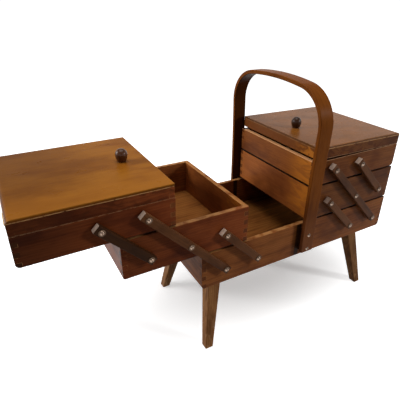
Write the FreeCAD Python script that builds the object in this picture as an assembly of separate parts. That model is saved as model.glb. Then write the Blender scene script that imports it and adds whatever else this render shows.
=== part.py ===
import FreeCAD, Part
import math
import os

# Cantilever sewing box on four splayed legs.  A bottom box carries, on each side, a middle
# tray and a lidded top tray on parallel wooden arms.  The left stack is drawn swung out,
# the right stack closed.  Millimetres, +Z up, +X to the right along the box, front at -Y.
# The origin is on the floor under the middle of the bottom box.

V = FreeCAD.Vector

# Driving dimensions of the case
BOX_LENGTH = 430.0
BOX_WIDTH = 218.0
LEG_HEIGHT = 150.0
WALL = 8.0
BASE_HEIGHT = 68.0
MIDDLE_HEIGHT = 64.5
TOP_HEIGHT = 45.0
LID_FRAME_HEIGHT = 18.0
LID_PANEL_THICKNESS = 4.0
TIER_GAP = 3.0
CENTRE_GAP = 4.0
LID_SETBACK = {"left": 1.0, "right": 4.5}
LID_AJAR_DEG = {"left": 0.0, "right": 1.1}
FINGER = 8.0
EDGE_ROUND = 0.8

# Bottom panels
TRAY_PANEL_THICKNESS = 5.0
TRAY_PANEL_INSET = 5.0
BASE_PANEL_THICKNESS = 8.0
BASE_PANEL_INSET = 4.0

# Radii of the outer corners, seen from the front
BASE_CORNER = 6.0
MIDDLE_CORNER = 3.0
TOP_CORNER = 6.0
LID_CORNER = 6.5
SEAM_ROUND = 2.0

# Parallel arms
HALF_SHIFT = 64.0
ARM_RISE = 65.0
PIVOT_SPACING = 64.0
BASE_PIVOT_X = 175.0
BASE_PIVOT_HEIGHT = 34.5
ARM_WIDTH = 13.0
ARM_THICKNESS = 10.0
ARM_LOWER_OVERHANG = 7.0
ARM_UPPER_OVERHANG = {"long": 11.5, "inner": 10.0, "outer": 9.5}

# Pivot screws and washers
SHANK_RADIUS = 2.0
RUNNING_CLEARANCE = 0.05
SHANK_IN_WALL = 7.0
HEAD_RADIUS = 3.3
HEAD_HEIGHT = 2.2
SLOT_WIDTH = 0.9
SLOT_DEPTH = 0.9
INNER_WASHER_RADIUS = 5.6
INNER_WASHER_THICKNESS = 1.0
OUTER_WASHER_RADIUS = 4.9
OUTER_WASHER_THICKNESS = 0.8
SIDE_PLAY = 0.1

# Bentwood handle
HANDLE_TOP = 465.0
STRAP_WIDTH = 27.0
STRAP_THICKNESS = 7.0
STRAP_ROUND = 1.2
SPACER_THICKNESS = 6.0
SPACER_HEIGHT = 45.0
SPACER_WIDTH = 19.0
STRAP_FOOT_RISE = 12.0
STRAP_STRAIGHT = 65.0
STRAP_FLARE_DEG = 2.4
STRAP_CORNER_RADIUS = 65.0
STRAP_CROWN_DEG = 7.5
STRAP_FIT_PASSES = 4
HANDLE_SCREW_HEIGHTS = (18.0, 47.0)

# Legs
LEG_TOP_X = 169.5
LEG_TOP_Y = 64.0
LEG_FOOT_X = 195.5
LEG_FOOT_Y = 97.0
LEG_TOP_WIDTH = 26.0
LEG_FOOT_WIDTH = 15.5
LEG_ROUND = 1.5
LEG_SCREW_RADIUS = 2.2
LEG_SCREW_HEAD_RADIUS = 4.4
LEG_SCREW_HEAD_HEIGHT = 2.4
LEG_SCREW_LENGTH = 33.0
LEG_SCREW_OFFSET = 6.0

# Lid knobs
KNOB_FROM_TRAY_END = {"left": 39.0, "right": 48.0}
KNOB_RADIUS = 9.4
KNOB_CENTRE = 11.4
KNOB_NECK_RADIUS = 6.4
KNOB_NECK_HEIGHT = 0.8
KNOB_SPIGOT_RADIUS = 4.0

# Lid hinges
HINGE_Y = 60.0
HINGE_WIDTH = 30.0
LEAF_THICKNESS = 0.9
LEAF_POCKET = 1.0
KNUCKLE_RADIUS = 1.9
PIN_RADIUS = 1.0
MIDDLE_KNUCKLE = 11.0
KNUCKLE_GAP = 0.2
LEAF_TO_BARREL = 0.3
BARREL_CLEARANCE = 0.3

# Heights worked out from the driving dimensions
HALF_LENGTH = BOX_LENGTH / 2
HALF_WIDTH = BOX_WIDTH / 2
BASE_BOTTOM = LEG_HEIGHT
BASE_RIM = BASE_BOTTOM + BASE_HEIGHT
MIDDLE_BOTTOM = BASE_RIM + TIER_GAP
MIDDLE_RIM = MIDDLE_BOTTOM + MIDDLE_HEIGHT
TOP_BOTTOM = MIDDLE_RIM + TIER_GAP
SEAM = TOP_BOTTOM + TOP_HEIGHT
LID_FRAME_TOP = SEAM + LID_FRAME_HEIGHT
LID_TOP = LID_FRAME_TOP + LID_PANEL_THICKNESS
TRAY_INNER_X = CENTRE_GAP / 2
BASE_PIVOT_Z = BASE_BOTTOM + BASE_PIVOT_HEIGHT
MIDDLE_PIVOT_Z = BASE_PIVOT_Z + ARM_RISE
TOP_PIVOT_Z = MIDDLE_PIVOT_Z + ARM_RISE
ARM_REACH = math.hypot(HALF_SHIFT, ARM_RISE)
ARM_LEAN_DEG = math.degrees(math.atan2(ARM_RISE, HALF_SHIFT))
ARM_INNER_Y = HALF_WIDTH + INNER_WASHER_THICKNESS + SIDE_PLAY
ARM_OUTER_Y = ARM_INNER_Y + ARM_THICKNESS
STRAP_INNER_Y = HALF_WIDTH + SPACER_THICKNESS
STRAP_OUTER_Y = STRAP_INNER_Y + STRAP_THICKNESS

FACES = {"front": -1, "back": 1}
ON_FACE = 1e-6


def block(x0, x1, y0, y1, z0, z1):
    """Box between two corners, given in any order along each axis."""
    corner = V(min(x0, x1), min(y0, y1), min(z0, z1))
    return Part.makeBox(abs(x1 - x0), abs(y1 - y0), abs(z1 - z0), corner)


def cylinder_y(x, z, radius, y0, y1):
    """Cylinder along Y between two Y values."""
    return Part.makeCylinder(radius, abs(y1 - y0), V(x, min(y0, y1), z), V(0, 1, 0))


def ring_y(x, z, outer, inner, y0, y1):
    return cylinder_y(x, z, outer, y0, y1).cut(cylinder_y(x, z, inner, y0, y1))


def edges_along(shape, direction):
    """Straight edges of a shape that run along one direction."""
    found = []
    for edge in shape.Edges:
        if not isinstance(edge.Curve, Part.Line):
            continue
        if edge.tangentAt(edge.FirstParameter).cross(direction).Length < ON_FACE:
            found.append(edge)
    return found


def mirrored(shape):
    """The same piece for the left side."""
    return shape.mirror(V(0, 0, 0), V(1, 0, 0))


def swung_out(shape, tiers):
    """A right-hand piece mirrored to the left and carried out by its arms."""
    piece = mirrored(shape)
    piece.translate(V(-2 * HALF_SHIFT * tiers, 0, 0))
    return piece


def save(name, solids):
    """One STEP file per node; a list becomes a group of separate solids."""
    group = solids if isinstance(solids, list) else [solids]
    shape = group[0] if len(group) == 1 else Part.makeCompound(group)
    shape.exportStep(os.path.join("parts", name + ".step"))


# --- Finger-jointed boxes -----------------------------------------------------------------

def envelope(x0, x1, z0, z1, radii):
    """Outer form of a box with rounded corners as seen from the front.

    radii maps an (end, level) pair such as ("outer", "bottom") to a corner radius."""
    body = block(x0, x1, -HALF_WIDTH, HALF_WIDTH, z0, z1)
    ends = {"inner": x0, "outer": x1}
    levels = {"bottom": z0, "top": z1}
    for (end, level), radius in radii.items():
        corner = V(ends[end], 0, levels[level])
        edge = min(edges_along(body, V(0, 1, 0)),
                   key=lambda e: math.hypot(e.CenterOfMass.x - corner.x, e.CenterOfMass.z - corner.z))
        body = body.makeFillet(radius, [edge])
    outline = [e for e in body.Edges if abs(abs(e.CenterOfMass.y) - HALF_WIDTH) < ON_FACE]
    return body.makeFillet(EDGE_ROUND, outline)


def jointed_boards(x0, x1, z0, height):
    """Front, back and two end boards whose ends interlock as fingers at each corner."""
    z1 = z0 + height
    count = max(2, round(height / FINGER))
    pitch = height / count
    long_board = {
        "front": block(x0, x1, -HALF_WIDTH, -HALF_WIDTH + WALL, z0, z1),
        "back": block(x0, x1, HALF_WIDTH - WALL, HALF_WIDTH, z0, z1),
    }
    end_board = {
        "inner_end": block(x0, x0 + WALL, -HALF_WIDTH, HALF_WIDTH, z0, z1),
        "outer_end": block(x1 - WALL, x1, -HALF_WIDTH, HALF_WIDTH, z0, z1),
    }
    for index in range(count):
        low = z0 + index * pitch
        taken = long_board if index % 2 == 0 else end_board
        for end_x in (x0, x1 - WALL):
            for end_y in (-HALF_WIDTH, HALF_WIDTH - WALL):
                cell = block(end_x, end_x + WALL, end_y, end_y + WALL, low, low + pitch)
                for name in taken:
                    taken[name] = taken[name].cut(cell)
    return {**long_board, **end_board}


def open_box(x0, x1, z0, height, inset, panel_low, panel_high, radii):
    """Four finger-jointed walls rebated for a bottom panel, and the panel."""
    form = envelope(x0, x1, z0, z0 + height, radii)
    rebate = block(x0 + inset, x1 - inset, -HALF_WIDTH + inset, HALF_WIDTH - inset, z0, panel_high)
    pieces = {}
    for name, board in jointed_boards(x0, x1, z0, height).items():
        pieces[name] = board.common(form).cut(rebate).removeSplitter()
    pieces["bottom"] = block(x0 + inset, x1 - inset, -HALF_WIDTH + inset, HALF_WIDTH - inset,
                             panel_low, panel_high)
    return pieces


def base_box():
    radii = {("inner", "bottom"): BASE_CORNER, ("outer", "bottom"): BASE_CORNER}
    return open_box(-HALF_LENGTH, HALF_LENGTH, BASE_BOTTOM, BASE_HEIGHT, BASE_PANEL_INSET,
                    BASE_BOTTOM, BASE_BOTTOM + BASE_PANEL_THICKNESS, radii)


def tray(bottom, height, radii):
    """A closed right-hand tray; its panel stands proud below and rests on the rim beneath."""
    return open_box(TRAY_INNER_X, HALF_LENGTH, bottom, height, TRAY_PANEL_INSET,
                    bottom - TIER_GAP, bottom - TIER_GAP + TRAY_PANEL_THICKNESS, radii)


# --- Arms and their screws ----------------------------------------------------------------

def arm(x, z, direction_deg, pivots, kind, side):
    """Flat bar from its lowest pivot at (x, z), with one hole per pivot."""
    length = ARM_LOWER_OVERHANG + ARM_REACH * (pivots - 1) + ARM_UPPER_OVERHANG[kind]
    y0 = min(side * ARM_INNER_Y, side * ARM_OUTER_Y)
    bar = Part.makeBox(length, ARM_THICKNESS, ARM_WIDTH,
                       V(-ARM_LOWER_OVERHANG, y0, -ARM_WIDTH / 2))
    bar = bar.makeFillet(EDGE_ROUND, bar.Edges)
    for index in range(pivots):
        hole = cylinder_y(index * ARM_REACH, 0, SHANK_RADIUS + RUNNING_CLEARANCE,
                          y0, y0 + ARM_THICKNESS)
        bar = bar.cut(hole)
    bar.rotate(V(0, 0, 0), V(0, 1, 0), -direction_deg)
    bar.translate(V(x, 0, z))
    return bar


def domed_head(x, z, y, side):
    """Slotted domed screw head standing outwards from a face at |y|."""
    sphere_radius = (HEAD_RADIUS ** 2 + HEAD_HEIGHT ** 2) / (2 * HEAD_HEIGHT)
    half_span = math.asin(HEAD_RADIUS / sphere_radius) / 2
    seat = V(x, side * y, z)
    rim = seat + V(HEAD_RADIUS, 0, 0)
    crown = seat + V(0, side * HEAD_HEIGHT, 0)
    middle = crown + V(sphere_radius * math.sin(half_span),
                       -side * sphere_radius * (1 - math.cos(half_span)), 0)
    edges = [Part.LineSegment(seat, rim).toShape(), Part.Arc(rim, middle, crown).toShape(),
             Part.LineSegment(crown, seat).toShape()]
    dome = Part.Face(Part.Wire(edges)).revolve(seat, V(0, 1, 0), 360)
    slot = block(x - SLOT_WIDTH / 2, x + SLOT_WIDTH / 2, side * (y + HEAD_HEIGHT - SLOT_DEPTH),
                 side * (y + 2 * HEAD_HEIGHT), z - HEAD_RADIUS, z + HEAD_RADIUS)
    return dome.cut(slot)


def domed_screw(x, z, head_y, side):
    """Screw from the case wall out to a head seated at |y| = head_y."""
    shank = cylinder_y(x, z, SHANK_RADIUS, side * (HALF_WIDTH - SHANK_IN_WALL), side * head_y)
    return shank.fuse(domed_head(x, z, head_y, side)).removeSplitter()


def pivot_set(x, z, side):
    """Inner washer, outer washer and screw of one arm pivot."""
    bore = SHANK_RADIUS + RUNNING_CLEARANCE
    washer_y = ARM_OUTER_Y + SIDE_PLAY
    head_y = washer_y + OUTER_WASHER_THICKNESS
    return [
        ring_y(x, z, INNER_WASHER_RADIUS, bore, side * HALF_WIDTH,
               side * (HALF_WIDTH + INNER_WASHER_THICKNESS)),
        ring_y(x, z, OUTER_WASHER_RADIUS, bore, side * washer_y, side * head_y),
        domed_screw(x, z, head_y, side),
    ]


def pivot_sets(places):
    """Pivot sets for a list of (x, z) places, front and back."""
    return [piece for x, z in places for side in FACES.values() for piece in pivot_set(x, z, side)]


def drilled(board, places, side):
    """Board with the blind pilot holes of the screws at the given (x, z) places."""
    for x, z in places:
        hole = cylinder_y(x, z, SHANK_RADIUS, side * (HALF_WIDTH - SHANK_IN_WALL), side * HALF_WIDTH)
        board = board.cut(hole)
    return board


# --- Handle -------------------------------------------------------------------------------

def strap_outline(offset):
    """Edges of half of the arch, from the foot to the crown, offset inwards."""
    flare = math.radians(STRAP_FLARE_DEG)
    crown = math.radians(STRAP_CROWN_DEG)
    corner_y = STRAP_OUTER_Y
    bend_z = BASE_BOTTOM + STRAP_STRAIGHT
    for _ in range(STRAP_FIT_PASSES):
        # The crown radius, the corner and the flare depend on each other only weakly.
        corner_span = STRAP_CORNER_RADIUS * (math.cos(flare) - math.sin(crown))
        crown_radius = (corner_y - corner_span) / math.sin(crown)
        corner_z = (HANDLE_TOP - crown_radius * (1 - math.cos(crown))
                    - STRAP_CORNER_RADIUS * (math.cos(crown) + math.sin(flare)))
        flare_radius = (corner_z - bend_z) / math.sin(flare)
        corner_y = STRAP_OUTER_Y + flare_radius * (1 - math.cos(flare))

    def on_circle(centre_y, centre_z, radius, angle):
        return V(0, centre_y + radius * math.cos(angle), centre_z + radius * math.sin(angle))

    foot = V(0, STRAP_OUTER_Y - offset, BASE_BOTTOM + STRAP_FOOT_RISE)
    bend = V(0, STRAP_OUTER_Y - offset, bend_z)
    side_centre_y = STRAP_OUTER_Y + flare_radius
    side_radius = flare_radius + offset
    side_mid = on_circle(side_centre_y, bend_z, side_radius, math.pi - flare / 2)
    side_end = on_circle(side_centre_y, bend_z, side_radius, math.pi - flare)
    corner_centre = V(0, corner_y - STRAP_CORNER_RADIUS * math.cos(flare),
                      corner_z + STRAP_CORNER_RADIUS * math.sin(flare))
    corner_radius = STRAP_CORNER_RADIUS - offset
    turn_end = math.pi / 2 - crown
    corner_mid = on_circle(corner_centre.y, corner_centre.z, corner_radius, (turn_end - flare) / 2)
    corner_end = on_circle(corner_centre.y, corner_centre.z, corner_radius, turn_end)
    crown_mid_angle = math.pi / 2 - crown / 2
    crown_mid = on_circle(0, HANDLE_TOP - crown_radius, crown_radius - offset, crown_mid_angle)
    crown_end = V(0, 0, HANDLE_TOP - offset)
    return [
        Part.LineSegment(foot, bend).toShape(),
        Part.Arc(bend, side_mid, side_end).toShape(),
        Part.Arc(side_end, corner_mid, corner_end).toShape(),
        Part.Arc(corner_end, crown_mid, crown_end).toShape(),
    ]


def handle_strap():
    """Flat bentwood strap arched from the front wall to the back wall."""
    outer = strap_outline(0.0)
    inner = strap_outline(STRAP_THICKNESS)
    foot_z = BASE_BOTTOM + STRAP_FOOT_RISE
    foot = Part.LineSegment(V(0, STRAP_OUTER_Y, foot_z), V(0, STRAP_INNER_Y, foot_z)).toShape()
    crown = Part.LineSegment(V(0, 0, HANDLE_TOP), V(0, 0, HANDLE_TOP - STRAP_THICKNESS)).toShape()
    wire = Part.Wire(Part.__sortEdges__(outer + inner + [foot, crown]))
    half = Part.Face(wire).extrude(V(STRAP_WIDTH, 0, 0))
    half.translate(V(-STRAP_WIDTH / 2, 0, 0))
    other = half.mirror(V(0, 0, 0), V(0, 1, 0))
    strap = half.fuse(other).removeSplitter()
    rims = [e for e in strap.Edges if abs(abs(e.CenterOfMass.x) - STRAP_WIDTH / 2) < ON_FACE]
    strap = strap.makeFillet(STRAP_ROUND, rims)
    for height in HANDLE_SCREW_HEIGHTS:
        z = BASE_BOTTOM + height
        strap = strap.cut(cylinder_y(0, z, SHANK_RADIUS, -STRAP_OUTER_Y, STRAP_OUTER_Y))
    return strap


def handle_spacers():
    """Packing blocks that hold the strap clear of the sliding trays."""
    pieces = []
    foot_z = BASE_BOTTOM + STRAP_FOOT_RISE
    for side in FACES.values():
        piece = block(-SPACER_WIDTH / 2, SPACER_WIDTH / 2, side * HALF_WIDTH,
                      side * STRAP_INNER_Y, foot_z, foot_z + SPACER_HEIGHT)
        for height in HANDLE_SCREW_HEIGHTS:
            piece = piece.cut(cylinder_y(0, BASE_BOTTOM + height, SHANK_RADIUS,
                                         -STRAP_OUTER_Y, STRAP_OUTER_Y))
        pieces.append(piece)
    return pieces


def handle_screws():
    return [domed_screw(0, BASE_BOTTOM + height, STRAP_OUTER_Y, side)
            for side in FACES.values() for height in HANDLE_SCREW_HEIGHTS]


# --- Legs ---------------------------------------------------------------------------------

def square_wire(x, y, width, z):
    half = width / 2
    corners = [V(x - half, y - half, z), V(x + half, y - half, z),
               V(x + half, y + half, z), V(x - half, y + half, z)]
    return Part.makePolygon(corners + corners[:1])


def leg_screw_places(side_x, side_y):
    return [(side_x * LEG_TOP_X + offset, side_y * LEG_TOP_Y)
            for offset in (-LEG_SCREW_OFFSET, LEG_SCREW_OFFSET)]


def leg_screw(x, y):
    """Countersunk wood screw driven down through the bottom panel."""
    top = BASE_BOTTOM + BASE_PANEL_THICKNESS
    shank = Part.makeCylinder(LEG_SCREW_RADIUS, LEG_SCREW_LENGTH, V(x, y, top - LEG_SCREW_LENGTH))
    head = Part.makeCone(LEG_SCREW_RADIUS, LEG_SCREW_HEAD_RADIUS, LEG_SCREW_HEAD_HEIGHT,
                         V(x, y, top - LEG_SCREW_HEAD_HEIGHT))
    return shank.fuse(head)


def leg(side_x, side_y):
    """Square leg that tapers and splays from the bottom panel to the floor."""
    top = square_wire(side_x * LEG_TOP_X, side_y * LEG_TOP_Y, LEG_TOP_WIDTH, LEG_HEIGHT)
    foot = square_wire(side_x * LEG_FOOT_X, side_y * LEG_FOOT_Y, LEG_FOOT_WIDTH, 0.0)
    post = Part.makeLoft([foot, top], True, True)
    long_edges = [e for e in post.Edges if abs(e.CenterOfMass.z - LEG_HEIGHT / 2) < LEG_HEIGHT / 4]
    post = post.makeFillet(LEG_ROUND, long_edges)
    for x, y in leg_screw_places(side_x, side_y):
        post = post.cut(leg_screw(x, y))
    return post


# --- Lids ---------------------------------------------------------------------------------

def hinge_spans():
    """(low, high) along Y of each of the two hinges of a lid."""
    return [(side * HINGE_Y - HINGE_WIDTH / 2, side * HINGE_Y + HINGE_WIDTH / 2) for side in (-1, 1)]


def hinge_recesses(z0, z1):
    """Room for the leaves between two heights, and for the barrels around the seam."""
    room = []
    for y0, y1 in hinge_spans():
        room.append(block(HALF_LENGTH - WALL, HALF_LENGTH, y0, y1, z0, z1))
        room.append(cylinder_y(HALF_LENGTH, SEAM, KNUCKLE_RADIUS + BARREL_CLEARANCE,
                               y0 - BARREL_CLEARANCE, y1 + BARREL_CLEARANCE))
    return room


def lid_corner_waste():
    """What the rounding of a lid's outer top edge takes away."""
    x = HALF_LENGTH - LID_CORNER
    z = LID_TOP - LID_CORNER
    corner = block(x, HALF_LENGTH, -HALF_WIDTH, HALF_WIDTH, z, LID_TOP)
    return corner.cut(cylinder_y(x, z, LID_CORNER, -HALF_WIDTH, HALF_WIDTH))


def lid_frame(inner_x):
    """Four finger-jointed rails, with recesses for the hinges in the outer one."""
    form = envelope(inner_x, HALF_LENGTH, SEAM, LID_FRAME_TOP,
                    {("inner", "bottom"): SEAM_ROUND, ("outer", "bottom"): SEAM_ROUND})
    rails = []
    for name, board in jointed_boards(inner_x, HALF_LENGTH, SEAM, LID_FRAME_HEIGHT).items():
        rail = board.common(form).cut(lid_corner_waste())
        if name == "outer_end":
            for recess in hinge_recesses(SEAM, SEAM + LEAF_POCKET):
                rail = rail.cut(recess)
        rails.append(rail.removeSplitter())
    return rails


def lid_panel(inner_x, knob_x):
    panel = envelope(inner_x, HALF_LENGTH, LID_FRAME_TOP, LID_TOP, {}).cut(lid_corner_waste())
    knob_hole = Part.makeCylinder(KNOB_SPIGOT_RADIUS, LID_PANEL_THICKNESS,
                                  V(knob_x, 0, LID_FRAME_TOP))
    return panel.cut(knob_hole)


def lid_knob(x):
    """Turned egg-shaped knob with a spigot through the lid panel."""
    rise = KNOB_CENTRE - KNOB_NECK_HEIGHT
    reach = KNOB_RADIUS - KNOB_NECK_RADIUS
    lower_radius = (reach ** 2 + rise ** 2) / (2 * reach)
    half_turn = math.asin(rise / lower_radius) / 2

    def at(radius, height):
        return V(x + radius, 0, LID_TOP + height)

    lower_mid = at(KNOB_RADIUS - lower_radius * (1 - math.cos(half_turn)),
                   KNOB_CENTRE - lower_radius * math.sin(half_turn))
    upper_mid = at(KNOB_RADIUS * math.cos(math.pi / 4),
                   KNOB_CENTRE + KNOB_RADIUS * math.sin(math.pi / 4))
    corners = [at(0, -LID_PANEL_THICKNESS), at(KNOB_SPIGOT_RADIUS, -LID_PANEL_THICKNESS),
               at(KNOB_SPIGOT_RADIUS, 0), at(KNOB_NECK_RADIUS, 0),
               at(KNOB_NECK_RADIUS, KNOB_NECK_HEIGHT)]
    crown = at(0, KNOB_CENTRE + KNOB_RADIUS)
    widest = at(KNOB_RADIUS, KNOB_CENTRE)
    edges = [Part.LineSegment(a, b).toShape() for a, b in zip(corners, corners[1:])]
    edges.append(Part.Arc(corners[-1], lower_mid, widest).toShape())
    edges.append(Part.Arc(widest, upper_mid, crown).toShape())
    edges.append(Part.LineSegment(crown, corners[0]).toShape())
    return Part.Face(Part.Wire(edges)).revolve(V(x, 0, 0), V(0, 0, 1), 360)


def hinge_leaf(y0, y1, knuckle_spans, z0, z1, bore):
    """Leaf plate with its own knuckles, each joined to the plate by a tab."""
    leaf = block(HALF_LENGTH - WALL, HALF_LENGTH - KNUCKLE_RADIUS - LEAF_TO_BARREL, y0, y1, z0, z1)
    for low, high in knuckle_spans:
        leaf = leaf.fuse(block(HALF_LENGTH - WALL, HALF_LENGTH, low, high, z0, z1))
        leaf = leaf.fuse(cylinder_y(HALF_LENGTH, SEAM, KNUCKLE_RADIUS, low, high))
    return leaf.cut(cylinder_y(HALF_LENGTH, SEAM, bore, y0, y1)).removeSplitter()


def lid_hinges():
    """Tray leaves with their pins, and lid leaves, of the two hinges of a lid.

    The pins lie in the seam, in line with the outer faces of tray and lid."""
    tray_side = []
    lid_side = []
    for y0, y1 in hinge_spans():
        middle = (y0 + y1) / 2
        half = MIDDLE_KNUCKLE / 2
        outer_spans = [(y0, middle - half - KNUCKLE_GAP), (middle + half + KNUCKLE_GAP, y1)]
        tray_side.append(hinge_leaf(y0, y1, outer_spans, SEAM - LEAF_POCKET,
                                    SEAM - LEAF_POCKET + LEAF_THICKNESS, PIN_RADIUS))
        tray_side.append(cylinder_y(HALF_LENGTH, SEAM, PIN_RADIUS, y0, y1))
        lid_side.append(hinge_leaf(y0, y1, [(middle - half, middle + half)],
                                   SEAM + LEAF_POCKET - LEAF_THICKNESS, SEAM + LEAF_POCKET,
                                   PIN_RADIUS + RUNNING_CLEARANCE))
    return tray_side, lid_side


# --- Writing the nodes --------------------------------------------------------------------

def write_base():
    pieces = base_box()
    places = [(side * x, BASE_PIVOT_Z) for side in (-1, 1)
              for x in (BASE_PIVOT_X, BASE_PIVOT_X - PIVOT_SPACING)]
    handle_places = [(0.0, BASE_BOTTOM + height) for height in HANDLE_SCREW_HEIGHTS]
    for face, side in FACES.items():
        save("base_" + face, drilled(pieces[face], places + handle_places, side))
    save("base_left_end", pieces["inner_end"])
    save("base_right_end", pieces["outer_end"])
    screws = []
    for name_y, side_y in FACES.items():
        for name_x, side_x in (("left", -1), ("right", 1)):
            save("leg_" + name_y + "_" + name_x, leg(side_x, side_y))
            screws += [leg_screw(x, y) for x, y in leg_screw_places(side_x, side_y)]
    bottom = pieces["bottom"]
    for screw in screws:
        bottom = bottom.cut(screw)
    save("base_bottom", bottom)
    save("leg_screws", screws)
    save("base_pivot_screws", pivot_sets(places))
    save("handle_strap", handle_strap())
    save("handle_spacers", handle_spacers())
    save("handle_screws", handle_screws())


def place(side_name, shape, tiers):
    """Right pieces stay closed; left pieces are mirrored and swung out by their tier."""
    return shape if side_name == "right" else swung_out(shape, tiers)


def place_lid_piece(side_name, shape):
    """A piece of a lid, turned about the hinge to where that lid rests."""
    turned = shape.copy()
    turned.rotate(V(HALF_LENGTH, 0, SEAM), V(0, 1, 0), LID_AJAR_DEG[side_name])
    return place(side_name, turned, 2)


def write_tray(side_name, tier_name, tiers, pieces, places):
    for name, piece in pieces.items():
        shape = place(side_name, piece, tiers)
        if name in FACES:
            shape = drilled(shape, places, FACES[name])
        save(side_name + "_" + tier_name + "_tray_" + name, shape)
    save(side_name + "_" + tier_name + "_pivot_screws", pivot_sets(places))


def write_side(side_name):
    """Trays, lid and arms of one side; every arm leans up and to the left as drawn."""
    base_x = BASE_PIVOT_X if side_name == "right" else -BASE_PIVOT_X
    inward = -PIVOT_SPACING if side_name == "right" else PIVOT_SPACING
    middle_x = base_x - HALF_SHIFT
    top_x = base_x - 2 * HALF_SHIFT

    middle_places = [(middle_x + k * inward, MIDDLE_PIVOT_Z) for k in (-1, 0, 1)]
    top_places = [(top_x + k * inward, TOP_PIVOT_Z) for k in (-1, 0)]
    middle = tray(MIDDLE_BOTTOM, MIDDLE_HEIGHT, {("outer", "bottom"): MIDDLE_CORNER})
    write_tray(side_name, "middle", 1, middle, middle_places)
    top = tray(TOP_BOTTOM, TOP_HEIGHT,
               {("outer", "bottom"): TOP_CORNER, ("outer", "top"): SEAM_ROUND})
    for recess in hinge_recesses(SEAM - LEAF_POCKET, SEAM):
        top["outer_end"] = top["outer_end"].cut(recess)
    write_tray(side_name, "top", 2, top, top_places)

    lean = 180 - ARM_LEAN_DEG
    for face, side in FACES.items():
        prefix = side_name + "_" + face + "_"
        save(prefix + "long_arm", arm(base_x, BASE_PIVOT_Z, lean, 3, "long", side))
        save(prefix + "inner_arm",
             arm(base_x + inward, BASE_PIVOT_Z, lean, 2, "inner", side))
        save(prefix + "outer_arm",
             arm(middle_x - inward, MIDDLE_PIVOT_Z, lean, 2, "outer", side))

    inner_x = TRAY_INNER_X + LID_SETBACK[side_name]
    knob_x = TRAY_INNER_X + KNOB_FROM_TRAY_END[side_name]
    tray_leaves, lid_leaves = lid_hinges()
    save(side_name + "_lid_frame", [place_lid_piece(side_name, s) for s in lid_frame(inner_x)])
    save(side_name + "_lid_panel", place_lid_piece(side_name, lid_panel(inner_x, knob_x)))
    save(side_name + "_lid_knob", place_lid_piece(side_name, lid_knob(knob_x)))
    save(side_name + "_hinge_tray_leaves", [place(side_name, s, 2) for s in tray_leaves])
    save(side_name + "_hinge_lid_leaves", [place_lid_piece(side_name, s) for s in lid_leaves])


os.makedirs("parts", exist_ok=True)
write_base()
for side_name in ("left", "right"):
    write_side(side_name)
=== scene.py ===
import math

import bpy
from mathutils import Matrix, Vector


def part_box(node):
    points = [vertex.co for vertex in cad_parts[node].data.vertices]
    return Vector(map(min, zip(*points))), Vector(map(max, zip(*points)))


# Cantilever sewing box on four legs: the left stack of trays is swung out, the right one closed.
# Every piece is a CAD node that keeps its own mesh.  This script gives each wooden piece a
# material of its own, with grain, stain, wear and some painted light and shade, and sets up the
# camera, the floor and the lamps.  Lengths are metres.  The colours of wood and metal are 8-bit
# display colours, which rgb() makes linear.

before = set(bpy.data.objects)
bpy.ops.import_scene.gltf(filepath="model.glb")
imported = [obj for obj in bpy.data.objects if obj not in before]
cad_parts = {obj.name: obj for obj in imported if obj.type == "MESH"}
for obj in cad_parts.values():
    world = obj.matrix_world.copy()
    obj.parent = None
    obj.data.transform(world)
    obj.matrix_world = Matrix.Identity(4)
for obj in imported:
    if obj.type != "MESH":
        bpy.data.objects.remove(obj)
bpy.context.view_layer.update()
MM = 0.001

# --- Places taken from the frame ----------------------------------------------------------

CASE_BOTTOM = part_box("base_front")[0].z
LID_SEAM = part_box("left_lid_frame")[0].z
PANEL_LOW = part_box("left_lid_panel")[0].z
PANEL_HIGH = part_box("left_lid_panel")[1].z
STRAP_LOW, STRAP_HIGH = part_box("handle_strap")

# The right lid rests a little open: it is turned about its hinge from the level of the left lid.
LEFT_LID_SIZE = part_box("left_lid_frame")[1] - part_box("left_lid_frame")[0]
RIGHT_LID_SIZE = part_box("right_lid_frame")[1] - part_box("right_lid_frame")[0]
LID_AJAR = math.asin((RIGHT_LID_SIZE.z - LEFT_LID_SIZE.z) / RIGHT_LID_SIZE.x)
LID_HINGE = Vector((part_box("right_top_tray_outer_end")[1].x, 0, LID_SEAM))

# --- Camera of the reference view ---------------------------------------------------------

CAMERA_PLACE = Vector((-0.45866, -0.54604, 0.58655))
CAMERA_YAW = 29.88
CAMERA_PITCH = 26.96
CAMERA_ROLL = 0.76
IMAGE_SIZE = 400
FOCAL_PIXELS = 388.8
CENTRE_PIXEL = (207.1, 191.75)
SENSOR = 36.0


def add_camera():
    """Camera of the reference view, aimed by its yaw, pitch and roll."""
    yaw, pitch, roll = (math.radians(a) for a in (CAMERA_YAW, CAMERA_PITCH, CAMERA_ROLL))
    forward = Vector((math.sin(yaw) * math.cos(pitch), math.cos(yaw) * math.cos(pitch),
                      -math.sin(pitch)))
    level_right = Vector((math.cos(yaw), -math.sin(yaw), 0))
    level_up = level_right.cross(forward)
    right = math.cos(roll) * level_right + math.sin(roll) * level_up
    up = math.cos(roll) * level_up - math.sin(roll) * level_right
    data = bpy.data.cameras.new("camera")
    data.sensor_width = SENSOR
    data.lens = FOCAL_PIXELS * SENSOR / IMAGE_SIZE
    data.shift_x = (IMAGE_SIZE / 2 - CENTRE_PIXEL[0]) / IMAGE_SIZE
    data.shift_y = (CENTRE_PIXEL[1] - IMAGE_SIZE / 2) / IMAGE_SIZE
    camera = bpy.data.objects.new("camera", data)
    turn = Matrix((right, up, -forward)).transposed().to_4x4()
    camera.matrix_world = Matrix.Translation(CAMERA_PLACE) @ turn
    bpy.context.scene.collection.objects.link(camera)
    bpy.context.scene.camera = camera


# --- Shader node helpers ------------------------------------------------------------------

MIX_FIRST_COLOUR = 6
MIX_SECOND_COLOUR = 7
MIX_RESULT_COLOUR = 2


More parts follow.
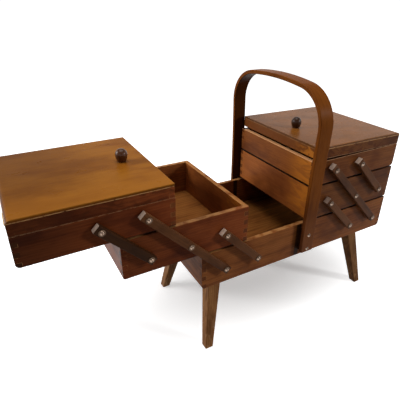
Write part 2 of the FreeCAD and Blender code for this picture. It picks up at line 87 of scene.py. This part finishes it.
class Tree:
    """Adds shader nodes to one tree and wires them, so that a material reads as a formula."""

    def __init__(self, tree):
        self.tree = tree

    def node(self, kind, **settings):
        made = self.tree.nodes.new(kind)
        for name, value in settings.items():
            setattr(made, name, value)
        return made

    def put(self, socket, value):
        if isinstance(value, bpy.types.NodeSocket):
            self.tree.links.new(value, socket)
        elif value is not None:
            socket.default_value = value

    def math(self, operation, a, b=None, clamp=False):
        made = self.node("ShaderNodeMath", operation=operation, use_clamp=clamp)
        self.put(made.inputs[0], a)
        self.put(made.inputs[1], b)
        return made.outputs[0]

    def add(self, a, b):
        return self.math("ADD", a, b)

    def minus(self, a, b):
        return self.math("SUBTRACT", a, b)

    def times(self, a, b):
        return self.math("MULTIPLY", a, b)

    def vector(self, operation, a, b=None):
        made = self.node("ShaderNodeVectorMath", operation=operation)
        self.put(made.inputs[0], a)
        self.put(made.inputs[1], b)
        return made.outputs["Value" if operation in ("LENGTH", "DOT_PRODUCT") else "Vector"]

    def split(self, vector):
        made = self.node("ShaderNodeSeparateXYZ")
        self.put(made.inputs[0], vector)
        return made.outputs

    def join(self, x, y, z):
        made = self.node("ShaderNodeCombineXYZ")
        for socket, value in zip(made.inputs, (x, y, z)):
            self.put(socket, value)
        return made.outputs[0]

    def stretch(self, vector, along, across):
        """Vector scaled by one factor along X and by another across it."""
        return self.vector("MULTIPLY", vector, (along, across, across))

    def noise(self, vector, scale=1.0, detail=2.0, roughness=0.5, distortion=0.0):
        made = self.node("ShaderNodeTexNoise")
        self.put(made.inputs["Vector"], vector)
        for name, value in (("Scale", scale), ("Detail", detail), ("Roughness", roughness),
                            ("Distortion", distortion)):
            made.inputs[name].default_value = value
        return made.outputs["Fac"]

    def span(self, value, low, high, to_low=0.0, to_high=1.0):
        """Smooth step of a value from low to high."""
        made = self.node("ShaderNodeMapRange", interpolation_type="SMOOTHSTEP")
        for socket, number in zip(made.inputs, (value, low, high, to_low, to_high)):
            self.put(socket, number)
        return made.outputs[0]

    def size(self, value):
        """Absolute value."""
        return self.math("ABSOLUTE", value)

    def near(self, value, centre, reach):
        """1 at the centre, falling to 0 at the reach on either side of it."""
        return self.span(self.size(self.minus(value, centre)), reach, reach * 0.4)

    def mix(self, share, a, b, blend="MIX"):
        made = self.node("ShaderNodeMix", data_type="RGBA", blend_type=blend)
        self.put(made.inputs["Factor"], share)
        self.put(made.inputs[MIX_FIRST_COLOUR], a)
        self.put(made.inputs[MIX_SECOND_COLOUR], b)
        return made.outputs[MIX_RESULT_COLOUR]

    def tint(self, a, b):
        """One colour multiplied by another."""
        return self.mix(1.0, a, b, "MULTIPLY")


def rgb(red, green, blue):
    """Linear colour of an 8-bit display colour."""
    def linear(value):
        share = value / 255
        return share / 12.92 if share <= 0.04045 else ((share + 0.055) / 1.055) ** 2.4
    return (linear(red), linear(green), linear(blue), 1.0)


def group(name, inputs, outputs):
    """Empty node group with its sockets; returns (group, Tree, input sockets, output sockets)."""
    made = bpy.data.node_groups.new(name, "ShaderNodeTree")
    for socket, kind in inputs:
        made.interface.new_socket(name=socket, in_out="INPUT", socket_type=kind)
    for socket, kind in outputs:
        made.interface.new_socket(name=socket, in_out="OUTPUT", socket_type=kind)
    tree = Tree(made)
    entry = tree.node("NodeGroupInput")
    leaving = tree.node("NodeGroupOutput")
    return made, tree, entry.outputs, leaving.inputs


def new_material(name):
    """Empty material with its Tree, the object coordinates and the surface's direction."""
    made = bpy.data.materials.new(name)
    made.use_nodes = True
    made.node_tree.nodes.clear()
    t = Tree(made.node_tree)
    here = t.node("ShaderNodeTexCoord").outputs["Object"]
    facing_way = t.node("ShaderNodeTexCoord").outputs["Normal"]
    return made, t, here, facing_way


def show(t, shader, output="ShaderNodeOutputMaterial"):
    """Joins a shader to the tree's output."""
    t.put(t.node(output).inputs["Surface"], shader.outputs[0])


# --- Wood ---------------------------------------------------------------------------------

RING_SPACING = 4.2 * MM
PITH_DISTANCE = 60 * MM
PITH_WANDER = 50 * MM
STRAP_BEND_RADIUS = 65 * MM
LIGHT_EDGE_RADIUS = 0.9 * MM
GRAIN_DEPTH = 0.1 * MM


def wood_group():
    """Solid wood in grain coordinates: metres, X along the fibres.

    Growth rings are cylinders round a wandering pith.  Fibres and pores are noise drawn out
    along X.  Streaks are the broader bands that take more stain.  Patches are slow blotches."""
    made, t, given, out = group(
        "wood", [("Grain", "NodeSocketVector")],
        [(name, "NodeSocketFloat") for name in ("Rings", "Fibres", "Pores", "Streaks", "Patches")])
    grain = given["Grain"]
    y, z = t.split(grain)[1:]
    wander = t.times(t.minus(t.noise(t.stretch(grain, 2.2, 9.0), detail=3.0), 0.5), PITH_WANDER)
    across = t.join(0.0, t.add(y, PITH_DISTANCE), t.add(z, wander))
    ripple = t.times(t.noise(t.stretch(grain, 8.0, 90.0)), 1.3)
    phase = t.math("FRACT", t.add(t.math("DIVIDE", t.vector("LENGTH", across), RING_SPACING), ripple))
    t.put(out["Rings"], t.times(t.span(phase, 0.3, 0.9), t.span(phase, 1.0, 0.92)))
    t.put(out["Fibres"], t.noise(t.stretch(grain, 16.0, 620.0), detail=4.0, roughness=0.65))
    t.put(out["Pores"], t.span(t.noise(t.stretch(grain, 70.0, 1500.0), detail=1.0), 0.6, 0.72))
    t.put(out["Streaks"], t.noise(t.stretch(grain, 7.0, 120.0), detail=3.0, roughness=0.55,
                                  distortion=0.4))
    t.put(out["Patches"], t.noise(t.stretch(grain, 11.0, 26.0), detail=3.0, roughness=0.55))
    return made


WOOD = wood_group()


class Finish:
    """Colours and sheen of one kind of wood.

    ring, streak and patch say how dark the growth rings, the bands that took more stain and the
    blotches are.  The edge share says how far the edges go towards the edge colour, which is
    partly from rubbing and partly a painted highlight along the edges."""

    def __init__(self, dark, middle, light, worn_and_lit, end, shine, roughness=0.38, ring=0.4,
                 wear_and_painted_light=0.6, patch=0.5, streak=0.5):
        self.dark = rgb(*dark)
        self.middle = rgb(*middle)
        self.light = rgb(*light)
        self.worn_and_lit = rgb(*worn_and_lit)
        self.end = rgb(*end)
        self.roughness = roughness
        self.shine = shine
        self.ring = ring
        self.wear_and_painted_light = wear_and_painted_light
        self.patch = patch
        self.streak = streak


FINISHES = {
    "case": Finish((70, 32, 13), (130, 73, 36), (156, 94, 48), (214, 160, 100), (84, 42, 21),
                   shine=0.03, ring=0.2, streak=0.35),
    "inner": Finish((82, 40, 16), (132, 73, 36), (156, 90, 42), (214, 156, 92), (100, 54, 30),
                    shine=0.035, ring=0.08, streak=0.2),
    "left_lid": Finish((98, 52, 12), (136, 80, 22), (158, 99, 30), (206, 160, 104), (90, 52, 26),
                       roughness=0.3, shine=0.026, ring=0.08, patch=0.26, streak=0.14),
    "right_lid": Finish((94, 54, 20), (128, 78, 30), (142, 86, 34), (206, 160, 104), (90, 52, 26),
                        roughness=0.26, shine=0.062, ring=0.06, patch=0.24, streak=0.1),
    "ply": Finish((92, 50, 22), (136, 80, 36), (156, 98, 46), (176, 124, 74), (96, 54, 28),
                  roughness=0.5, shine=0.05),
    # The arms' end colour is pale end grain with a painted reflection of the bright surroundings.
    "arm": Finish((54, 30, 16), (92, 56, 33), (114, 72, 43), (160, 118, 84), (226, 200, 180),
                  shine=0.035, ring=0.1, streak=0.3),
    "handle": Finish((68, 33, 11), (112, 59, 19), (130, 72, 25), (206, 140, 76), (90, 46, 20),
                     roughness=0.36, shine=0.018, ring=0.06, streak=0.14, patch=0.3),
    "leg": Finish((90, 56, 30), (136, 90, 54), (160, 112, 68), (182, 136, 92), (90, 60, 40),
                  shine=0.03, wear_and_painted_light=0.7),
    "knob": Finish((38, 20, 9), (58, 31, 15), (70, 40, 20), (110, 66, 40), (52, 27, 13),
                   roughness=0.3, shine=0.24),
}


# How light each board is at its left and at its right end, as a share of its wood colour;
# other boards have 1.  The rise across the left lid's panel towards its right end is painted
# light, for light that falls off towards the left.
STAIN_AND_PAINTED_LIGHT = {
    "left_top_tray_front": (0.28, 1.0),
    "left_top_tray_outer_end": (0.3, 0.3),
    "left_lid_frame": (0.28, 0.84),
    "left_lid_panel": (0.8, 1.06),
    "left_middle_tray_front": (0.54, 0.84),
    "base_front": (1.0, 0.92),
    "right_middle_tray_front": (0.6, 0.6),
    "right_top_tray_front": (0.76, 0.76),
    "right_top_tray_inner_end": (0.9, 0.9),
    "right_middle_tray_inner_end": (1.25, 1.25),
    "right_lid_frame": (0.62, 0.5),
    "left_front_outer_arm": (0.36, 0.36),
    "left_lid_knob": (1.8, 1.8),
    "leg_front_left": (1.25, 1.25),
    "leg_front_right": (0.85, 0.85),
}

# Boards whose stain is redder than that of the others, and how it tints them.
REDDER = ("left_top_tray_front", "left_lid_frame", "left_middle_tray_front",
          "left_middle_tray_outer_end")
REDDER_TINT = (1.08, 0.8, 0.84, 1.0)


def grain_turn(lengthwise):
    """Rotation that lays the given direction along X."""
    return Vector(lengthwise).rotation_difference(Vector((1, 0, 0))).to_euler("XYZ")


def level_lid(t, here):
    """Coordinates of the right lid as if it lay level on its tray."""
    shut = Matrix.Rotation(-LID_AJAR, 3, "Y")
    mapped = t.node("ShaderNodeMapping")
    mapped.inputs["Rotation"].default_value = shut.to_euler("XYZ")
    mapped.inputs["Location"].default_value = LID_HINGE - shut @ LID_HINGE
    t.put(mapped.inputs["Vector"], here)
    return mapped.outputs[0]


def straight_grain(t, here, lengthwise, place):
    """Grain coordinates of a board cut from the log at the given place."""
    mapped = t.node("ShaderNodeMapping")
    mapped.inputs["Rotation"].default_value = grain_turn(lengthwise)
    mapped.inputs["Location"].default_value = place
    t.put(mapped.inputs["Vector"], here)
    return mapped.outputs[0]


def bent_grain(t, here, place):
    """Grain that runs up one leg of the strap, round the bend and across to the other leg."""
    x, y, z = t.split(here)
    bend_y = STRAP_HIGH.y - STRAP_BEND_RADIUS
    bend_z = STRAP_HIGH.z - STRAP_BEND_RADIUS
    out = t.minus(t.size(y), bend_y)
    up = t.minus(z, bend_z)
    round_out = t.math("MAXIMUM", out, 0.0)
    round_up = t.math("MAXIMUM", up, 0.0)
    swept = t.times(t.math("ARCTAN2", round_up, round_out), STRAP_BEND_RADIUS)
    leg = t.math("MINIMUM", up, 0.0)
    top = t.math("MAXIMUM", t.times(out, -1.0), 0.0)
    along = t.add(t.add(swept, leg), top)
    depth = t.vector("LENGTH", t.join(0.0, round_out, round_up))
    return t.vector("ADD", t.join(along, x, depth), place)


def stain_and_painted_light(t, here, name, colour):
    """The board's tone from the table above, which may differ between its left and its right end;
    across the left lid's panel it is painted light.
    """
    low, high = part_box(name)
    at_left, at_right = STAIN_AND_PAINTED_LIGHT.get(name, (1.0, 1.0))
    share = t.span(t.split(here)[0], low.x, high.x, at_left, at_right)
    if name in REDDER:
        colour = t.tint(colour, REDDER_TINT)
    return t.tint(colour, t.join(share, share, share))


def wood_material(name, finish, lengthwise, place, wear_and_painted_light=None):
    """One board's own material: its grain direction, its place in the log, its stain, rubbing and some
    painted light and shade.

    A piece with no lengthwise direction is the bent strap."""
    kind = FINISHES[finish]
    made, t, here, facing_way = new_material(name)
    if name.startswith("right_lid"):
        here = level_lid(t, here)
    if lengthwise is None:
        grain = bent_grain(t, here, place)
        ends = 0.0
    else:
        grain = straight_grain(t, here, lengthwise, place)
        ends = t.span(t.size(t.vector("DOT_PRODUCT", facing_way, lengthwise)), 0.8, 0.92)
    wood = t.node("ShaderNodeGroup", node_tree=WOOD)
    t.put(wood.inputs["Grain"], grain)
    rings, fibres, pores, streaks, patches = wood.outputs

    tone = t.add(t.times(t.span(fibres, 0.3, 0.7), 0.35), t.times(t.span(patches, 0.3, 0.7), 0.65))
    colour = t.mix(t.span(tone, 0.1, 0.9), kind.middle, kind.light)
    colour = t.mix(t.times(rings, kind.ring), colour, kind.dark)
    colour = t.mix(t.times(t.span(streaks, 0.5, 0.3), kind.streak), colour, kind.dark)
    colour = t.mix(t.times(t.span(patches, 0.5, 0.28), kind.patch), colour, kind.dark)
    colour = t.mix(t.times(pores, 0.4), colour, kind.dark)
    colour = t.mix(t.times(ends, 0.6), colour, kind.end)
    colour = stain_and_painted_light(t, here, name, colour)

    # Edges are made lighter where the rounded normal departs from the true one: partly rubbing, partly
    # a painted highlight along the edges.
    rounded = t.node("ShaderNodeBevel", samples=4)
    rounded.inputs["Radius"].default_value = LIGHT_EDGE_RADIUS
    true = t.node("ShaderNodeNewGeometry").outputs["Normal"]
    bend = t.minus(1.0, t.vector("DOT_PRODUCT", rounded.outputs[0], true))
    rub = t.span(t.noise(here, 80.0, 4.0, 0.6), 0.44, 0.6)
    light_edge = t.times(t.span(bend, 0.02, 0.16), rub)
    colour = t.mix(t.times(light_edge, kind.wear_and_painted_light), colour, kind.worn_and_lit)
    if wear_and_painted_light is not None:
        colour = wear_and_painted_light(t, here, facing_way, colour, kind)
    # Painted shade along the lower edge of every tray board.
    if "_tray_" in name:
        colour = tray_gap_shade(t, here, colour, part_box(name)[0].z)

    bump = t.node("ShaderNodeBump")
    bump.inputs["Strength"].default_value = 0.3
    bump.inputs["Distance"].default_value = GRAIN_DEPTH
    t.put(bump.inputs["Height"], t.minus(t.times(fibres, 0.5), t.times(pores, 0.6)))
    smear = t.times(t.minus(t.noise(here, 35.0, 3.0), 0.5), 0.2)

    shader = t.node("ShaderNodeBsdfPrincipled")
    shader.inputs["Specular IOR Level"].default_value = kind.shine
    t.put(shader.inputs["Base Color"], colour)
    t.put(shader.inputs["Roughness"], t.add(smear, kind.roughness))
    t.put(shader.inputs["Normal"], bump.outputs[0])
    show(t, shader)
    return made


# --- Wear, dirt, painted light and painted shade that belong to one place on the box -------
#
# Each of these functions takes the tree, the place and direction of the surface, its colour so far
# and its finish, and returns the new colour.

# The arms lean this far to the left for this much height.
ARM_SHIFT = 64 * MM
ARM_RISE = 65 * MM
ARM_WAY = tuple(Vector((-ARM_SHIFT, 0, ARM_RISE)).normalized())

SEAM_LINE_REACH = 0.75 * MM
BARE_WOOD = rgb(216, 168, 128)
LIT_BARE_RIM_WOOD = rgb(238, 176, 120)
RAIL_EDGE_WOOD = rgb(208, 156, 104)
ORANGE_WOOD = rgb(136, 78, 34)
HIGHLIGHT_RAIL_WOOD = rgb(206, 126, 44)
HIGHLIGHT_BOARD_WOOD = rgb(206, 124, 42)
PALE_STRAP_WOOD = rgb(114, 74, 54)
STRAP_SHADE = rgb(40, 18, 6)
SPACER_SHADE = rgb(26, 13, 7)
PAINTED_SHADE_VENEER = rgb(94, 52, 14)
PAINTED_LIGHT_VENEER = rgb(164, 102, 32)
COVERED_RIM_SHADE = rgb(66, 37, 23)
STRAP_SHADOW = rgb(16, 9, 6)
GAP_SHADE = rgb(14, 7, 4)


def arm_end(t, here, facing_way, colour, kind):
    """The sawn ends of the arms are pale end grain, made paler still by a painted reflection of the
    bright surroundings.
    """
    along = t.size(t.vector("DOT_PRODUCT", facing_way, ARM_WAY))
    return t.mix(t.times(t.span(along, 0.8, 0.92), 0.95), colour, kind.end)


def seam_line(t, here, facing_way, colour, kind):
    """Lacquer is chipped along the seam between lid and tray, most under the ajar right lid."""
    x, _, z = t.split(here)
    upright = t.span(t.size(t.split(facing_way)[2]), 0.7, 0.4)
    chipped = t.span(t.noise(t.vector("MULTIPLY", here, (160.0, 160.0, 600.0)), detail=3.0), 0.36, 0.48)
    narrow = t.span(x, -0.01, 0.01, 1.0, 0.55)
    height = t.add(t.times(t.minus(z, LID_SEAM), narrow), LID_SEAM)
    line = t.times(t.times(t.near(height, LID_SEAM, SEAM_LINE_REACH), chipped), upright)
    return t.mix(t.times(line, 0.85), colour, BARE_WOOD)


def lid_rim(t, here, facing_way, colour, kind):
    """Burled rim, orange on its end faces and painted golden beside the handle near the front as a
    painted highlight, with the seam line below and a light line above.
    """
    x, y, z = t.split(here)
    burl = t.noise(t.vector("MULTIPLY", here, (42.0, 42.0, 70.0)), detail=3.0, distortion=1.5)
    colour = t.mix(t.times(t.span(burl, 0.54, 0.4), 0.6), colour, kind.dark)
    sideways = t.span(t.size(t.split(facing_way)[0]), 0.6, 0.8)
    beside_strap = t.times(t.span(t.size(x), 0.06, 0.03), t.span(y, -0.04, -0.09))
    highlight = t.times(beside_strap, t.span(burl, 0.42, 0.58))
    colour = t.mix(t.times(sideways, 0.6), colour, ORANGE_WOOD)
    colour = t.mix(t.times(t.times(sideways, highlight), 0.7), colour, HIGHLIGHT_RAIL_WOOD)
    colour = seam_line(t, here, facing_way, colour, kind)
    upper = t.span(z, PANEL_LOW - 1.1 * MM, PANEL_LOW - 0.7 * MM)
    chipped = t.span(t.noise(here, 120.0, 3.0), 0.3, 0.5)
    line = t.times(t.times(upper, chipped), t.minus(0.95, t.times(sideways, 0.6)))
    return t.mix(line, colour, RAIL_EDGE_WOOD)


def panel_edge(t, here, facing_way, colour, kind):
    """The panel's edge is dark below its lighter upper corner."""
    z = t.split(here)[2]
    low = t.span(z, PANEL_HIGH - 0.9 * MM, PANEL_HIGH - 1.5 * MM)
    return t.mix(t.times(low, 0.75), colour, kind.dark)


def spacer_shade(t, here, facing_way, colour, kind):
    """The blocks behind the strap are painted nearly black: painted shade, for the deep shadow between
    strap and board.
    """
    return t.mix(0.8, colour, SPACER_SHADE)


def strap_paling_and_shade(t, here, facing_way, colour, kind):
    """The strap's outer face is paler towards the feet; its inner faces and underside are painted dark:
    painted shade, for the shade inside the arch and under the strap.
    """
    place = t.split(here)
    paler = t.span(place[2], STRAP_LOW.z + 120 * MM, STRAP_LOW.z, 0.0, 0.5)
    colour = t.mix(paler, colour, PALE_STRAP_WOOD)
    way = t.split(facing_way)
    inward = t.times(t.math("SIGN", place[1]), t.times(way[1], -1.0))
    inside = t.math("MAXIMUM", t.span(inward, 0.3, 0.8), t.span(way[2], -0.2, -0.7))
    return t.mix(t.times(inside, 0.75), colour, STRAP_SHADE)


def left_panel(t, here, facing_way, colour, kind):
    """The veneer is painted golden along the front edge and dark towards the back at the left end:
    painted light and painted shade, for light that is brighter at the front and towards the middle.
    """
    x, y = t.split(here)[:2]
    far = t.times(t.span(y, -0.09, 0.03), t.span(x, -0.3, -0.44))
    colour = t.mix(t.times(far, 0.45), colour, PAINTED_SHADE_VENEER)
    cloud = t.times(t.minus(t.noise(here, 22.0, 3.0), 0.5), 0.08)
    front = t.span(t.add(y, cloud), -0.035, -0.1)
    colour = t.mix(t.times(front, 0.5), colour, PAINTED_LIGHT_VENEER)
    return panel_edge(t, here, facing_way, colour, kind)


def inner_board(t, here, facing_way, colour, kind):
    """Painted highlight: streaky golden wood on the faces of these boards that face along X, near the
    front beside the handle, for the warm reflection there.
    """
    outward = t.span(t.size(t.split(facing_way)[0]), 0.6, 0.8)
    front = t.span(t.split(here)[1], -0.03, -0.1)
    figure = t.noise(t.vector("MULTIPLY", here, (40.0, 20.0, 75.0)), detail=4.0, distortion=1.2)
    streak = t.span(figure, 0.4, 0.62)
    highlight = t.times(t.times(front, outward), t.add(t.times(streak, 0.55), 0.3))
    colour = t.mix(highlight, colour, HIGHLIGHT_BOARD_WOOD)
    return tray_board(t, here, facing_way, colour, kind)


def rim_top(t, here, facing_way, colour, kind):
    """The upper edges of open boards are lighter, partly from rubbing and partly as a painted
    highlight; the rims under the closed right trays are painted dark: painted shade, for the dark gaps
    between the trays.
    """
    level = t.span(t.split(facing_way)[2], 0.8, 0.95)
    covered = t.span(t.split(here)[0], -0.004, 0.004)
    rub = t.span(t.noise(t.vector("MULTIPLY", here, (60.0, 60.0, 60.0)), detail=4.0), 0.3, 0.6)
    colour = t.mix(t.times(t.times(level, rub), 0.45), colour, kind.worn_and_lit)
    return t.mix(t.times(level, covered), colour, COVERED_RIM_SHADE)


def strap_shadow(t, here, facing_way, colour, kind):
    """Painted shadow, nearly black, of the strap's foot on the board along its left side; the rim is
    done as on the other boards.
    """
    colour = rim_top(t, here, facing_way, colour, kind)
    outside = t.span(t.size(t.split(facing_way)[1]), 0.7, 0.9)
    x = t.split(here)[0]
    beside = t.times(t.span(x, STRAP_LOW.x - 8 * MM, STRAP_LOW.x - 4 * MM),
                     t.span(x, STRAP_LOW.x + 5 * MM, STRAP_LOW.x + 3 * MM))
    return t.mix(t.times(t.times(outside, beside), 0.85), colour, STRAP_SHADOW)


def tray_gap_shade(t, here, colour, low):
    """Painted shade along the lower edge of a tray's board, which starts at the given level, for the
    dark gap between the trays.
    """
    z = t.split(here)[2]
    return t.mix(t.span(z, low + 1.5 * MM, low + 0.7 * MM, 0.0, 0.9), colour, GAP_SHADE)


def tray_board(t, here, facing_way, colour, kind):
    """Lighter upper edge with painted shade on covered rims, as in rim_top, and the chipped line along
    the lid's seam.
    """
    return seam_line(t, here, facing_way, rim_top(t, here, facing_way, colour, kind), kind)


def bright_rim(t, here, facing_way, colour, kind):
    """The board under the ajar lid's edge is painted bright along its top: partly bare wood where
    rubbing took the finish off, partly painted light where light comes in under the lid.
    """
    colour = inner_board(t, here, facing_way, colour, kind)
    z = t.split(here)[2]
    top = t.span(z, LID_SEAM - 1.4 * MM, LID_SEAM - 0.6 * MM)
    return t.mix(t.times(top, 0.9), colour, LIT_BARE_RIM_WOOD)


def foot_wear(t, here, facing_way, colour, kind):
    """The legs are knocked and scuffed, most of all near the floor."""
    z = t.split(here)[2]
    low = t.span(z, CASE_BOTTOM * 0.6, 0.0, 0.15, 1.0)
    knocks = t.span(t.noise(t.vector("MULTIPLY", here, (90.0, 90.0, 45.0)), detail=4.0), 0.52, 0.64)
    return t.mix(t.times(t.times(low, knocks), 0.6), colour, kind.worn_and_lit)


# Polished colour, dull colour and roughness.
METALS = {
    "steel": ((150, 128, 112), (84, 66, 52), 0.22),
    "brass": ((176, 140, 78), (150, 116, 62), 0.35),
}


def metal_material(name, polished, dull, roughness):
    """Domed heads are polished; the flat washers round them are dull and brown."""
    made, t, here, facing_way = new_material(name)
    tarnish = t.span(t.noise(here, 260.0, 4.0, 0.6), 0.4, 0.7)
    flat = t.span(t.size(t.split(facing_way)[1]), 0.985, 0.998)
    colour = t.mix(flat, rgb(*polished), rgb(*dull))
    colour = t.mix(t.times(tarnish, 0.5), colour, rgb(*[value * 0.5 for value in dull]))
    shader = t.node("ShaderNodeBsdfPrincipled")
    shader.inputs["Metallic"].default_value = 1.0
    t.put(shader.inputs["Base Color"], colour)
    t.put(shader.inputs["Roughness"], t.add(t.times(t.add(tarnish, flat), 0.15), roughness))
    show(t, shader)
    return made


# --- Finishes of the CAD nodes ------------------------------------------------------------

ALONG = {"x": (1, 0, 0), "y": (0, 1, 0), "z": (0, 0, 1)}


def log_place(index):
    """Each board comes from its own place in the log."""
    return (0.37 * index, 0.053 * (index * 7 % 5), 0.041 * (index * 3 % 7))


def finish_of(node):
    """Finish, grain direction and local marks of a wooden node, some of them painted light and shade.
    """
    if node.endswith("_arm"):
        return "arm", ARM_WAY, arm_end
    if node.startswith("leg_"):
        return "leg", ALONG["z"], foot_wear
    if node == "handle_strap":
        return "handle", None, strap_paling_and_shade
    if node == "handle_spacers":
        return "handle", ALONG["z"], spacer_shade
    if node.endswith("_knob"):
        return "knob", ALONG["z"], None
    if node == "left_lid_panel":
        return "left_lid", ALONG["x"], left_panel
    if node == "right_lid_panel":
        return "right_lid", ALONG["x"], panel_edge
    if node.endswith("_lid_frame"):
        return "case", ALONG["x"], lid_rim
    if node.endswith("_bottom"):
        return "ply", ALONG["x"], None
    if node in ("base_front", "base_back"):
        return "case", ALONG["x"], strap_shadow
    wear_and_painted_light = tray_board if "_top_tray_" in node else rim_top
    if node == "right_top_tray_inner_end":
        return "inner", ALONG["y"], bright_rim
    if node.endswith("inner_end"):
        return "inner", ALONG["y"], inner_board
    if node.endswith("_end"):
        return "case", ALONG["y"], wear_and_painted_light
    return "case", ALONG["x"], wear_and_painted_light


def dress_cad_nodes():
    """Each wooden node gets a material of its own; screws and hinges share one of each metal."""
    steel = metal_material("steel", *METALS["steel"])
    brass = metal_material("brass", *METALS["brass"])
    for index, (name, piece) in enumerate(sorted(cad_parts.items())):
        if name.endswith("_screws"):
            material = steel
        elif "hinge" in name:
            material = brass
        else:
            finish, lengthwise, wear_and_painted_light = finish_of(name)
            material = wood_material(name, finish, lengthwise, log_place(index), wear_and_painted_light)
        piece.data.materials.clear()
        piece.data.materials.append(material)


# --- Studio -------------------------------------------------------------------------------

# The eye and mirrors see white paper; the object itself is lit by a plainer, darker one.
FLOOR_REACH = 60.0
PAPER = (0.42, 0.41, 0.4, 1)
WHITE_PAPER = (0.9, 0.9, 0.9, 1)

# The painted shade below the box, where the floor glows less: an ellipse twice as long as it is wide, a
# little behind the middle.
SHADE_Y = 0.04
SHADE_WIDTH_SHARE = 0.5
SHADE_CORE = 0.02
SHADE_REACH = 0.24
SHADE_GLOW = 0.22

AMBIENT_COLOUR = (1.0, 0.98, 0.96, 1)
AMBIENT_STRENGTH = 0.07
BACKDROP_LOW = (1, 1, 1, 1)
BACKDROP_HIGH = (0.2, 0.2, 0.2, 1)

# Square lamps: place, the point they shine at, the side in metres and the power in watts.
BOX_MIDDLE = (0, 0, 0.25)
LAMPS = {
    "overhead": ((-0.15, 0.1, 1.7), (-0.1, 0, 0.25), 1.1, 13),
    "window": ((-1.7, 0.85, 0.95), BOX_MIDDLE, 0.9, 21),
    "key": ((1.5, -1.5, 1.2), BOX_MIDDLE, 0.35, 19),
}


def seen_by_eye_or_mirror(t):
    """1 for camera, glossy and transmission rays, which show the background."""
    path = t.node("ShaderNodeLightPath").outputs
    both = t.math("ADD", path["Is Camera Ray"], path["Is Glossy Ray"], clamp=True)
    return t.math("ADD", both, path["Is Transmission Ray"], clamp=True)


def choose(t, for_other_rays, for_eye):
    """Shader that the eye and mirrors see, and another one that lights the object."""
    choice = t.node("ShaderNodeMixShader")
    t.put(choice.inputs[0], seen_by_eye_or_mirror(t))
    t.put(choice.inputs[1], for_other_rays.outputs[0])
    t.put(choice.inputs[2], for_eye.outputs[0])
    return choice


def flat_colour(t, kind, colour):
    """Shader of the given kind with one colour all over."""
    shader = t.node(kind)
    shader.inputs["Color"].default_value = colour
    return shader


def floor_material():
    """White paper that glows ever more away from the box, and keeps the box's shadow; the weaker glow
    near the box is painted shade.
    """
    made, t, here, _ = new_material("floor")
    paper = flat_colour(t, "ShaderNodeBsdfDiffuse", PAPER)
    white = flat_colour(t, "ShaderNodeBsdfDiffuse", WHITE_PAPER)
    x, y = t.split(here)[:2]
    away = t.vector("LENGTH", t.join(t.times(x, SHADE_WIDTH_SHARE), t.minus(y, SHADE_Y), 0.0))
    glow = t.node("ShaderNodeEmission")
    t.put(glow.inputs["Strength"], t.span(away, SHADE_CORE, SHADE_REACH, SHADE_GLOW, 1.0))
    shown = t.node("ShaderNodeAddShader")
    t.put(shown.inputs[0], white.outputs[0])
    t.put(shown.inputs[1], glow.outputs[0])
    show(t, choose(t, paper, shown))
    return made


def add_floor():
    mesh = bpy.data.meshes.new("floor")
    corners = [(x * FLOOR_REACH, y * FLOOR_REACH, 0) for x, y in ((-1, -1), (1, -1), (1, 1), (-1, 1))]
    mesh.from_pydata(corners, [], [(0, 1, 2, 3)])
    mesh.materials.append(floor_material())
    floor = bpy.data.objects.new("floor", mesh)
    bpy.context.scene.collection.objects.link(floor)


def add_world():
    world = bpy.data.worlds.new("studio")
    bpy.context.scene.world = world
    world.use_nodes = True
    world.node_tree.nodes.clear()
    t = Tree(world.node_tree)
    ambient = flat_colour(t, "ShaderNodeBackground", AMBIENT_COLOUR)
    ambient.inputs["Strength"].default_value = AMBIENT_STRENGTH
    height = t.split(t.node("ShaderNodeTexCoord").outputs["Generated"])[2]
    backdrop = t.node("ShaderNodeBackground")
    t.put(backdrop.inputs["Color"], t.mix(t.span(height, 0.08, 0.65), BACKDROP_LOW, BACKDROP_HIGH))
    show(t, choose(t, ambient, backdrop), "ShaderNodeOutputWorld")


def add_lamp(name, place, target, size, power):
    """Square area lamp that faces its target."""
    data = bpy.data.lights.new(name, "AREA")
    data.shape = "SQUARE"
    data.size = size
    data.energy = power
    lamp = bpy.data.objects.new(name, data)
    lamp.location = place
    lamp.rotation_euler = (Vector(target) - Vector(place)).to_track_quat("-Z", "Y").to_euler()
    bpy.context.scene.collection.objects.link(lamp)


add_camera()
add_floor()
add_world()
for lamp_name, lamp in LAMPS.items():
    add_lamp(lamp_name, *lamp)
dress_cad_nodes()
bpy.context.scene.view_settings.view_transform = "Standard"
